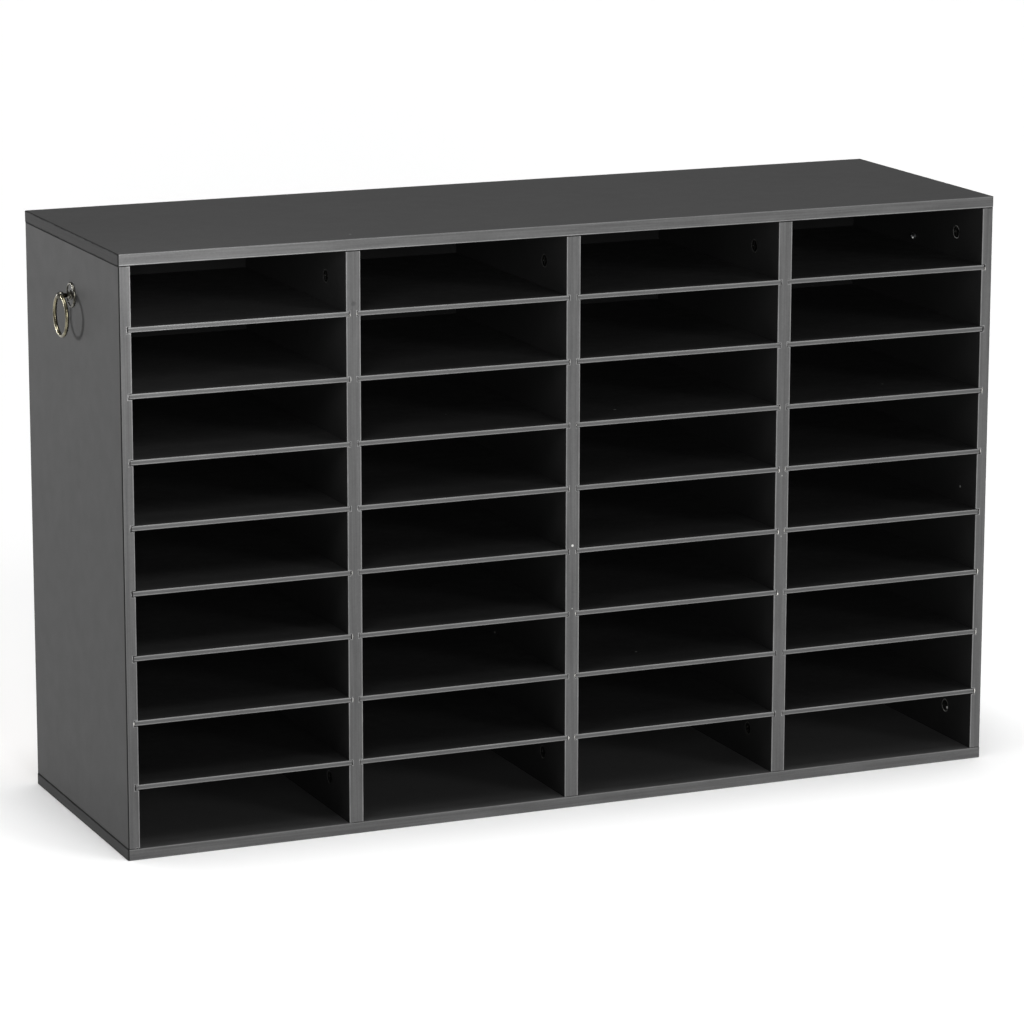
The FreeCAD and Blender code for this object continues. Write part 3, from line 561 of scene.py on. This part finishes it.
def foil_wrapped_thin_board(name):
    """Thin MDF wrapped in black foil.

    The faces are a deep matt black with faint scuffs from sliding paper and a little lint. The
    front edge is a worn grey, paler along both arrises, which is partly wear and partly painted
    highlight, and the sawn ends are fibre painted dark, which is painted shade in the gaps at the
    groove ends.
    """
    look = bpy.context.scene.sorter_boards
    size = SHELF_HIGH - SHELF_LOW
    skin = 0.1 * MM
    material = new_material(name)
    texture = add_node(material, "ShaderNodeTexCoord")
    position = texture["Object"]
    share = add_node(material, "ShaderNodeSeparateXYZ", inputs={0: texture["Generated"]})
    foil = mottled(material, look.shelf_colour, position, size=60 * MM, low=0.95, high=1.05)
    slanting = add_node(material, "ShaderNodeVectorRotate", {"rotation_type": "Z_AXIS"},
                        {"Vector": position, "Angle": math.radians(35)})["Vector"]
    scuffs = clouds(
        material, slanting, size=2.5 * MM, low=-0.5, high=0.18, stretch=(0.08, 1, 1), detail=1.0)
    edge = mottled(material, look.shelf_edge_colour, position, size=1.5 * MM, low=0.9, high=1.1,
                   stretch=(0.05, 1, 1))
    # Painted highlight: the pale arrises stand in for light caught on them, partly wear.
    arris = soft_edges(material, (share["Z"], 0.66, 0.9, 0.9), (share["Z"], 0.3, 0.1, 0.7))
    pale = patchy(material, arris, position, size=30 * MM, low=0.6, high=1.0)
    edge = layered(material, edge, (pale, look.shelf_arris_highlight_colour))
    front = within(material, (share["Y"], None, 0.6 * MM / size.y))
    whole = within(material, (share["X"], skin / size.x, 1 - skin / size.x),
                   (share["Y"], None, 1 - skin / size.y))
    lint = marks(material, position, LINT_MARKS)
    faces = layered(material, foil, (scuffs, look.scuff_colour), (lint, look.lint_colour),
                    (front, edge))
    # Painted shade: the sawn ends are painted dark.
    fibre = mottled(material, look.shaded_sawn_colour, position, size=1.2 * MM, low=0.8, high=1.15)
    return close_material(material, {
        "Base Color": layered(material, fibre, (whole, faces)),
        "Roughness": clouds(material, position, size=20 * MM, low=0.5, high=0.62),
        "Specular IOR Level": 0.12,
        "Normal": grain_bump(material, position, size=1.2 * MM, height=0.04 * MM, strength=0.3)})


def hardboard(name):
    """Wet-process hardboard, 3 mm thick.

    Its smooth front is lacquered black. The rear keeps the brown imprint of the wire mesh that
    it was pressed on, about 1.6 mm from wire to wire, drawn at twice that so that it shows.
    """
    look = bpy.context.scene.sorter_boards
    wire_pitch = 3.2 * MM
    material = new_material(name)
    texture = add_node(material, "ShaderNodeTexCoord")
    position = texture["Object"]
    share = add_node(material, "ShaderNodeSeparateXYZ", inputs={0: texture["Generated"]})
    rear = within(material, (share["Y"], 0.1, None))
    # A wave texture repeats every pi / 10 of a unit at scale 1.
    warp, weft = (add_node(material, "ShaderNodeTexWave", {"bands_direction": direction}, {
        "Vector": position, "Scale": per_metre(wire_pitch) * math.pi / 10, "Distortion": 0.6,
        "Detail": 1.0})["Fac"] for direction in ("X", "Z"))
    mesh_print = add_node(material, "ShaderNodeMath", TIMES, {0: warp, 1: weft})[0]
    pits = add_node(material, "ShaderNodeMath", TIMES, {0: mesh_print, 1: 0.5})[0]
    rear_print = add_node(material, "ShaderNodeMath", TIMES, {0: mesh_print, 1: rear})[0]
    fibre = mottled(
        material, look.hardboard_colour, position, size=6 * MM, low=0.85, high=1.12, detail=4.0)
    fibre = mottled(material, fibre, position, size=120 * MM, low=0.88, high=1.08)
    fibre = layered(material, fibre, (pits, look.mesh_pit_colour))
    lacquer = mottled(material, look.lacquer_colour, position, size=50 * MM, low=0.9, high=1.1)
    relief = add_node(material, "ShaderNodeBump", {"invert": True}, {
        "Height": rear_print, "Distance": 0.25 * MM, "Strength": 0.7})
    return close_material(material, {
        "Base Color": layered(material, lacquer, (rear, fibre)),
        "Roughness": clouds(material, position, size=10 * MM, low=0.65, high=0.8),
        "Specular IOR Level": 0.05,
        "Normal": relief["Normal"]})


def turned_beech(name):
    """Fluted beech dowel: pale pinkish wood with short darker flecks along the grain."""
    look = bpy.context.scene.sorter_fasteners
    material = new_material(name)
    position = add_node(material, "ShaderNodeTexCoord")["Object"]
    wood = mottled(material, look.beech_colour, position, size=1.6 * MM, low=0.86, high=1.08,
                   stretch=(1, 1, 0.12))
    return close_material(material, {
        "Base Color": wood,
        "Roughness": 0.7,
        "Normal": grain_bump(material, position, size=0.5 * MM, height=0.05 * MM, strength=0.4)})


def die_cast_zinc(name, colour, bore_highlight_colour):
    """Die-cast zinc alloy, dulled to a dark grey as it aged.

    The rim is pale and matt, a painted highlight where the edge of the bore catches the light,
    and a few spots are painted glints, matt white with no metal.
    """
    look = bpy.context.scene.sorter_fasteners
    material = new_material(name)
    position = add_node(material, "ShaderNodeTexCoord")["Object"]
    # The cams stand in four rows that mirror each other, so their places are folded to one axis.
    middle = (CAMS_LOW + CAMS_HIGH) / 2
    axis = CAMS_HIGH - middle - Vector((0, CAM_RADIUS, CAM_RADIUS))
    offset = add_node(material, "ShaderNodeVectorMath", {"operation": "SUBTRACT"},
                      {0: position, 1: middle})
    folded = add_node(material, "ShaderNodeVectorMath", {"operation": "ABSOLUTE"},
                      {0: offset["Vector"]})
    level = add_node(material, "ShaderNodeVectorMath", TIMES, {0: folded["Vector"], 1: (0, 1, 1)})
    radius = add_node(material, "ShaderNodeVectorMath", {"operation": "DISTANCE"},
                      {0: level["Vector"], 1: (0, axis.y, axis.z)})["Value"]
    # Painted highlight: the pale rim stands in for light caught at the edge of the bore.
    rim = within(material, (radius, CAM_RADIUS - 1.0 * MM, CAM_RADIUS + 1.0 * MM))
    scraped = patchy(material, rim, position, size=9 * MM, low=0.1, high=0.9)
    skin = mottled(material, colour, position, size=2.5 * MM, low=0.75, high=1.1)
    # Painted highlights: matt white glints, with the metal turned off under them.
    glint = marks(material, position, PAINTED_GLINT_MARKS)
    dull = raised(material, scraped, (glint, 1.0))
    return close_material(material, {
        "Base Color": layered(material, skin, (scraped, bore_highlight_colour),
                              (glint, look.painted_glint_colour)),
        "Metallic": soft_edges(material, (dull, 0.2, 0.0, 1.0)),
        "Roughness": clouds(material, position, size=1.5 * MM, low=0.32, high=0.5),
        "Normal": grain_bump(material, position, size=0.6 * MM, height=0.02 * MM, strength=0.5)})


def zinc_plated_steel(name):
    """Cold-headed steel with zinc plating: a cool sheen, faint tool marks and a painted glint or
    two.
    """
    look = bpy.context.scene.sorter_fasteners
    material = new_material(name)
    position = add_node(material, "ShaderNodeTexCoord")["Object"]
    plating = mottled(material, look.steel_colour, position, size=3 * MM, low=0.85, high=1.05)
    # Painted highlights: matt white glints, with the metal turned off under them.
    glint = marks(material, position, PAINTED_GLINT_MARKS)
    return close_material(material, {
        "Base Color": layered(material, plating, (glint, look.painted_glint_colour)),
        "Metallic": soft_edges(material, (glint, 1.0, 0.0, 1.0)),
        "Roughness": clouds(material, position, size=1.2 * MM, low=0.25, high=0.4),
        "Normal": grain_bump(material, position, size=0.5 * MM, height=0.01 * MM, strength=0.4)})


def antique_brass(name, wear, rubbed_and_highlight_colour, patina_colour):
    """Cast brass, blackened in a bath and rubbed back.

    Pale yellow shows where it was rubbed, in soft uneven patches, the rest keeps an olive brown
    patina, and the hollows stay nearly black.
    """
    look = bpy.context.scene.sorter_handles
    material = new_material(name)
    position = add_node(material, "ShaderNodeTexCoord")["Object"]
    # Pointiness is 0.5 on a flat surface, more on crests and less in hollows.
    crest = add_node(material, "ShaderNodeNewGeometry")["Pointiness"]
    worn = clouds(material, position, size=9 * MM, low=wear - 0.25, high=wear + 0.25, detail=1.0)
    rubbed = soft_edges(material, (crest, 0.5, 0.6, wear + 0.3))
    hollow = soft_edges(material, (crest, 0.49, 0.45, 1.0))
    patina = mottled(material, patina_colour, position, size=3 * MM, low=0.9, high=1.1)
    return close_material(material, {
        "Base Color": layered(material, patina,
                              (raised(material, worn, (rubbed, 1.0)), rubbed_and_highlight_colour),
                              (hollow, look.recess_colour)),
        "Metallic": 1.0,
        "Roughness": clouds(material, position, size=4 * MM, low=0.24, high=0.32),
        "Normal": grain_bump(material, position, size=1.6 * MM, height=0.02 * MM, strength=0.25)})


def broken_plastic(name, colour):
    """Edging where it broke: chalky and matt, with a torn grain."""
    material = new_material(name)
    position = add_node(material, "ShaderNodeTexCoord")["Object"]
    return close_material(material, {
        "Base Color": mottled(material, colour, position, size=1.0 * MM, low=0.8, high=1.1),
        "Roughness": 0.8,
        "Normal": grain_bump(material, position, size=0.4 * MM, height=0.05 * MM, strength=0.5)})


def seamless_paper(name):
    """Matt studio paper: a plain pale ground."""
    look = bpy.context.scene.sorter_studio
    return close_material(new_material(name), {
        "Base Color": look.floor_colour,
        "Roughness": 0.9,
        "Specular IOR Level": 0.1})


# ---------------------------------------------------------------- shared steps

def dress(names, material):
    """Give CAD nodes a material in every slot."""
    for name in names:
        for slot in NODES[name].material_slots:
            slot.material = material


def end_joints(width):
    """Give the dark lines at the top and the foot of an upright, partly painted shadow, the one at
    the foot narrower.
    """
    return (("Z", SIDE_LOW.z - PLANE_MARGIN, SIDE_LOW.z + FOOT_SHARE * width),
            ("Z", SIDE_HIGH.z - width, SIDE_HIGH.z + PLANE_MARGIN))


def side_lines(width):
    """Give the dark lines that reach inward from the outer faces of the two sides."""
    return (("X", -SIDE_FACE - PLANE_MARGIN, width - SIDE_FACE),
            ("X", SIDE_FACE - width, SIDE_FACE + PLANE_MARGIN))


def torn_shard(source, height, width):
    """Give points and faces of one curled shard of edging, standing up along Z at the origin.

    Its points are (away from the groove, out of the board, up), in millimetres. The side by the
    groove is ragged, and the middle stands proud.
    """
    points, faces = [], []
    for i in range(SHARD_STATIONS):
        t = i / (SHARD_STATIONS - 1)
        bulge = max(math.sin(math.pi * t), 0.12) ** 0.6
        outer = width * bulge * source.uniform(0.85, 1.1)
        inner = outer * source.uniform(0.2, 0.45) * bulge
        up = height * (t - 0.5) + source.uniform(-0.15, 0.15)
        away = (inner, inner, (inner + outer) / 2, outer, outer)
        points += [(u, out, up) for u, out in zip(away, SHARD_HEIGHTS)]
    count = len(SHARD_HEIGHTS)
    for i in range(SHARD_STATIONS - 1):
        for k in range(count):
            here, beside = i * count + k, i * count + (k + 1) % count
            faces.append((here, beside, beside + count, here + count))
    faces += [tuple(range(count)), tuple(range(len(points) - count, len(points)))]
    return points, faces


def new_piece(name, points, faces, material, body):
    """Link a mesh piece, give it a material and let it ride on a CAD body."""
    mesh = bpy.data.meshes.new(name)
    mesh.from_pydata(points, [], faces)
    shape = bmesh.new()
    shape.from_mesh(mesh)
    bmesh.ops.recalc_face_normals(shape, faces=shape.faces)
    shape.to_mesh(mesh)
    shape.free()
    mesh.materials.append(material)
    piece = bpy.data.objects.new(name, mesh)
    bpy.context.scene.collection.objects.link(piece)
    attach(piece, body)
    return piece


# ---------------------------------------------------------------- operators

class SORTER_OT_finish_boards(bpy.types.Operator):
    """Give the top, bottom, sides and dividers their melamine"""
    bl_idname = "sorter.finish_boards"
    bl_label = "Finish Boards"

    def execute(self, context):
        look = context.scene.sorter_boards
        uprights = [f"{side}_panel" for side in SIDES] + list(DIVIDERS)
        # Painted shade: the uprights take darker copies of the melamine, on their outer faces and
        # inside.
        dress(uprights, melamine_faced_chipboard(
            "melamine_faced_chipboard_uprights", "X", look.shaded_side_colour, look.inner_colour,
            look.side_gloss, (("Y", SIDE_LOW.y - PLANE_MARGIN, SIDE_LOW.y + look.seam_width),
                              *end_joints(look.joint_and_shadow_width))))
        dress(("top_panel", "bottom_panel"), melamine_faced_chipboard(
            "melamine_faced_chipboard_caps", "Z", look.outer_colour, look.cap_inner_colour,
            look.gloss, (("X", BAND_LOW.x, BAND_LOW.x + look.seam_width),
                         ("X", BAND_HIGH.x - look.seam_width, BAND_HIGH.x))))
        return {"FINISHED"}


class SORTER_OT_finish_edging(bpy.types.Operator):
    """Give every edge band its plastic, with streaks along its length"""
    bl_idname = "sorter.finish_edging"
    bl_label = "Finish Edging"

    def execute(self, context):
        upward, sideways = (1, 1, 0.02), (0.02, 0.02, 1)
        joints = end_joints(context.scene.sorter_edging.joint_and_shadow_width)
        corners = side_lines(0.4 * MM)
        side_width = SIDE_BAND_HIGH.x - SIDE_BAND_LOW.x
        divider_width = DIVIDER_BAND_HIGH.x - DIVIDER_BAND_LOW.x
        cap_width = BAND_HIGH.z - BAND_LOW.z
        # The pale arris lines are partly painted highlight; their strengths follow how each arris
        # catches the light.
        dress([f"{side}_edge_band" for side in SIDES], abs_edge_band(
            "abs_edge_band_sides", "X", side_width, upward,
            rub_and_highlight_low=0.8, rub_and_highlight_high=0.8, seams=joints + side_lines(0.8 * MM),
            cut_width=0.9 * MM))
        dress([f"{divider}_edge_band" for divider in DIVIDERS], abs_edge_band(
            "abs_edge_band_dividers", "X", divider_width, upward,
            rub_and_highlight_low=0.8, rub_and_highlight_high=1.0, seams=joints, cut_width=0.3 * MM))
        dress(("top_edge_band",), abs_edge_band(
            "abs_edge_band_top", "Z", cap_width, sideways,
            rub_and_highlight_low=0.9, rub_and_highlight_high=0.3, seams=corners, cut_width=0))
        dress(("bottom_edge_band",), abs_edge_band(
            "abs_edge_band_bottom", "Z", cap_width, sideways,
            rub_and_highlight_low=0.2, rub_and_highlight_high=0.45, seams=corners, cut_width=0))
        return {"FINISHED"}


class SORTER_OT_tear_edging(bpy.types.Operator):
    """Raise the shards of edging that the groove cutter tore at the shelf ends"""
    bl_idname = "sorter.tear_edging"
    bl_label = "Tear Edging"

    def execute(self, context):
        material = broken_plastic("broken_abs", context.scene.sorter_edging.torn_colour)
        source = random.Random(RANDOM_SEED)
        for column, end, row, height, width, rise, distance in TORN_EDGING:
            low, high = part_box(f"shelf_col{column}_row{row}")
            shelf_end, away = (high.x, 1) if end == "right" else (low.x, -1)
            groove_end = shelf_end + away * (SHELF_END_PLAY + distance * MM)
            middle = (low.z + high.z) / 2 + rise * MM
            points, faces = torn_shard(source, height, width)
            points = [(groove_end + away * u * MM, SIDE_BAND_LOW.y - out * MM, middle + up * MM)
                      for u, out, up in points]
            new_piece(f"torn_edging_col{column}_{end}_row{row}", points, faces, material,
                      "cabinet")
        return {"FINISHED"}


class SORTER_OT_finish_shelves(bpy.types.Operator):
    """Give the shelves their foil, front edges and sawn ends"""
    bl_idname = "sorter.finish_shelves"
    bl_label = "Finish Shelves"

    def execute(self, context):
        shelves = [f"shelf_col{column}_row{row}" for column in COLUMNS for row in ROWS]
        dress(shelves, foil_wrapped_thin_board("foil_wrapped_thin_board"))
        return {"FINISHED"}


class SORTER_OT_finish_back_panel(bpy.types.Operator):
    """Give the back panel its black front and mesh rear"""
    bl_idname = "sorter.finish_back_panel"
    bl_label = "Finish Back Panel"

    def execute(self, context):
        dress(("back_panel",), hardboard("hardboard"))
        return {"FINISHED"}


class SORTER_OT_finish_fasteners(bpy.types.Operator):
    """Give the cams, bolts, dowels and screws their metal or wood"""
    bl_idname = "sorter.finish_fasteners"
    bl_label = "Finish Fasteners"

    def execute(self, context):
        look = context.scene.sorter_fasteners
        screws = [f"{side}_handle_screw" for side in HANDLE_SIDES]
        dress(["cam_bolts", "back_panel_screws", *screws], zinc_plated_steel("zinc_plated_steel"))
        dress(("side_cam_locks",), die_cast_zinc(
            "die_cast_zinc", look.cam_colour, look.cam_rim_highlight_colour))
        dress(("divider_cam_locks",), die_cast_zinc(
            "darkened_die_cast_zinc", look.dark_cam_colour, look.dark_cam_rim_highlight_colour))
        dress(("dowels",), turned_beech("turned_beech"))
        return {"FINISHED"}


class SORTER_OT_finish_handles(bpy.types.Operator):
    """Give the rosettes, posts and rings their antique brass"""
    bl_idname = "sorter.finish_handles"
    bl_label = "Finish Ring Handles"

    def execute(self, context):
        look = context.scene.sorter_handles
        rings = [f"{side}_handle_ring" for side in HANDLE_SIDES]
        dress(rings, antique_brass(
            "antique_brass_rings", look.ring_wear, look.brass_colour, look.patina_colour))
        mounts = [f"{side}_handle_{part}" for side in HANDLE_SIDES for part in ("rosette", "post")]
        dress(mounts, antique_brass(
            "antique_brass_mounts", look.rosette_wear, look.rosette_rubbed_colour,
            look.rosette_colour))
        return {"FINISHED"}


class SORTER_OT_set_stage(bpy.types.Operator):
    """Lay the floor, hang the lights and stand the camera"""
    bl_idname = "sorter.set_stage"
    bl_label = "Set Stage"

    def execute(self, context):
        lay_floor(context)
        light_studio(context)
        stand_camera(context)
        return {"FINISHED"}


# ---------------------------------------------------------------- stage

FLOOR_HALF_WIDTH = 60.0
FILM_WIDTH = 36        # in millimetres, as a camera takes it
SUN_PLACE = (0, 0, 3)  # a far panel's own place makes no difference to its light
# name, place, point it is aimed at, width (all in metres) and power in watts
SOFTBOXES = (
    ("front_box", (-0.3, -3.2, 1.0), (0.0, 0.0, 0.35), 1.0, 25.0),
    ("corner_box", (-0.5, -0.45, 0.7), (-0.48, -0.156, 0.6), 0.2, 1.25),
    ("upper_box", (0.15, -0.7, 0.9), (0.1, -0.156, 0.6), 0.3, 0.95),
    ("lower_right_box", (0.4, -0.65, 0.06), (0.35, -0.156, 0.05), 0.5, 0.65),
)
# name, degrees to the right of straight in front, height in degrees, width in degrees and
# strength: large panels so far off that their light is even over the floor
FAR_PANELS = (
    ("ceiling_panel", 0, 90, 30, 2.7),
    ("front_left_panel", -18, 8, 8, 0.9),
    ("front_right_panel", 35, 10, 15, 1.1),
    ("left_rear_panel", -143, 3, 8, 1.35),
)


def lay_floor(context):
    """Lay a paper floor that reaches past the horizon of every view."""
    reach = FLOOR_HALF_WIDTH
    mesh = bpy.data.meshes.new("floor")
    corners = [(-reach, -reach, 0), (reach, -reach, 0), (reach, reach, 0), (-reach, reach, 0)]
    mesh.from_pydata(corners, [], [(0, 1, 2, 3)])
    mesh.materials.append(seamless_paper("seamless_paper"))
    floor = bpy.data.objects.new("floor", mesh)
    context.scene.collection.objects.link(floor)


def hang_lamp(context, light, place, direction):
    """Link a light, standing at a place and shining along a direction."""
    lamp = bpy.data.objects.new(light.name, light)
    lamp.location = place
    lamp.rotation_euler = direction.to_track_quat("-Z", "Y").to_euler()
    context.scene.collection.objects.link(lamp)


def light_studio(context):
    """Hang the softboxes and far panels and set the even light of the room."""
    for name, place, aim, width, power in SOFTBOXES:
        light = bpy.data.lights.new(name, "AREA")
        light.shape = "SQUARE"
        light.size = width
        light.energy = power
        hang_lamp(context, light, place, Vector(aim) - Vector(place))
    for name, turn, rise, spread, strength in FAR_PANELS:
        light = bpy.data.lights.new(name, "SUN")
        light.angle = math.radians(spread)
        light.energy = strength
        turn, rise = math.radians(turn), math.radians(rise)
        direction = Vector((-math.sin(turn) * math.cos(rise), math.cos(turn) * math.cos(rise),
                            -math.sin(rise)))
        hang_lamp(context, light, SUN_PLACE, direction)
    world = bpy.data.worlds.new("even_studio_light")
    world.use_nodes = True
    world.node_tree.nodes.clear()
    background = add_node(world, "ShaderNodeBackground", inputs={
        "Color": (1, 1, 1), "Strength": context.scene.sorter_studio.sky_strength})
    add_node(world, "ShaderNodeOutputWorld", inputs={"Surface": background[0]})
    context.scene.world = world
    context.scene.view_settings.view_transform = "Standard"
    context.scene.view_settings.look = "None"


def stand_camera(context):
    """Stand the camera in front and to the left, looking slightly down."""
    studio = context.scene.sorter_studio
    lens = bpy.data.cameras.new("camera")
    lens.sensor_width = FILM_WIDTH
    lens.lens = studio.focal_length
    lens.clip_end = 4 * FLOOR_HALF_WIDTH
    camera = bpy.data.objects.new("camera", lens)
    camera.matrix_world = (
        Matrix.Translation(studio.place)
        @ Matrix.Rotation(-studio.yaw, 4, "Z")
        @ Matrix.Rotation(math.radians(90) - studio.pitch, 4, "X")
        @ Matrix.Rotation(studio.roll, 4, "Z"))
    context.scene.collection.objects.link(camera)
    context.scene.camera = camera


# ---------------------------------------------------------------- panel and registration

STEPS = (
    SORTER_OT_finish_boards,
    SORTER_OT_finish_edging,
    SORTER_OT_tear_edging,
    SORTER_OT_finish_shelves,
    SORTER_OT_finish_back_panel,
    SORTER_OT_finish_fasteners,
    SORTER_OT_finish_handles,
    SORTER_OT_set_stage,
)
SETTINGS = {
    "sorter_boards": BoardSettings,
    "sorter_edging": EdgingSettings,
    "sorter_handles": HandleSettings,
    "sorter_fasteners": FastenerSettings,
    "sorter_studio": StudioSettings,
}


class SORTER_PT_finish(bpy.types.Panel):
    """The steps and settings of the mail sorter's finish"""
    bl_idname = "SORTER_PT_finish"
    bl_label = "Mail Sorter"
    bl_space_type = "VIEW_3D"
    bl_region_type = "UI"
    bl_category = "Mail Sorter"

    def draw(self, context):
        for name, group in SETTINGS.items():
            box = self.layout.box()
            box.label(text=group.__doc__)
            for prop in group.__annotations__:
                box.prop(getattr(context.scene, name), prop)
        for step in STEPS:
            self.layout.operator(step.bl_idname)


def register():
    """Register the settings, operators and panel."""
    for group in SETTINGS.values():
        bpy.utils.register_class(group)
    for name, group in SETTINGS.items():
        setattr(bpy.types.Scene, name, bpy.props.PointerProperty(type=group))
    for step in (*STEPS, SORTER_PT_finish):
        bpy.utils.register_class(step)


def unregister():
    """Take the settings, operators and panel away again."""
    for step in (SORTER_PT_finish, *reversed(STEPS)):
        bpy.utils.unregister_class(step)
    for name, group in SETTINGS.items():
        delattr(bpy.types.Scene, name)
        bpy.utils.unregister_class(group)


def main():
    register()
    for step in STEPS:
        family, action = step.bl_idname.split(".")
        if getattr(getattr(bpy.ops, family), action)() != {"FINISHED"}:
            raise RuntimeError(f"{step.bl_label} did not finish")


if __name__ == "__main__":
    main()
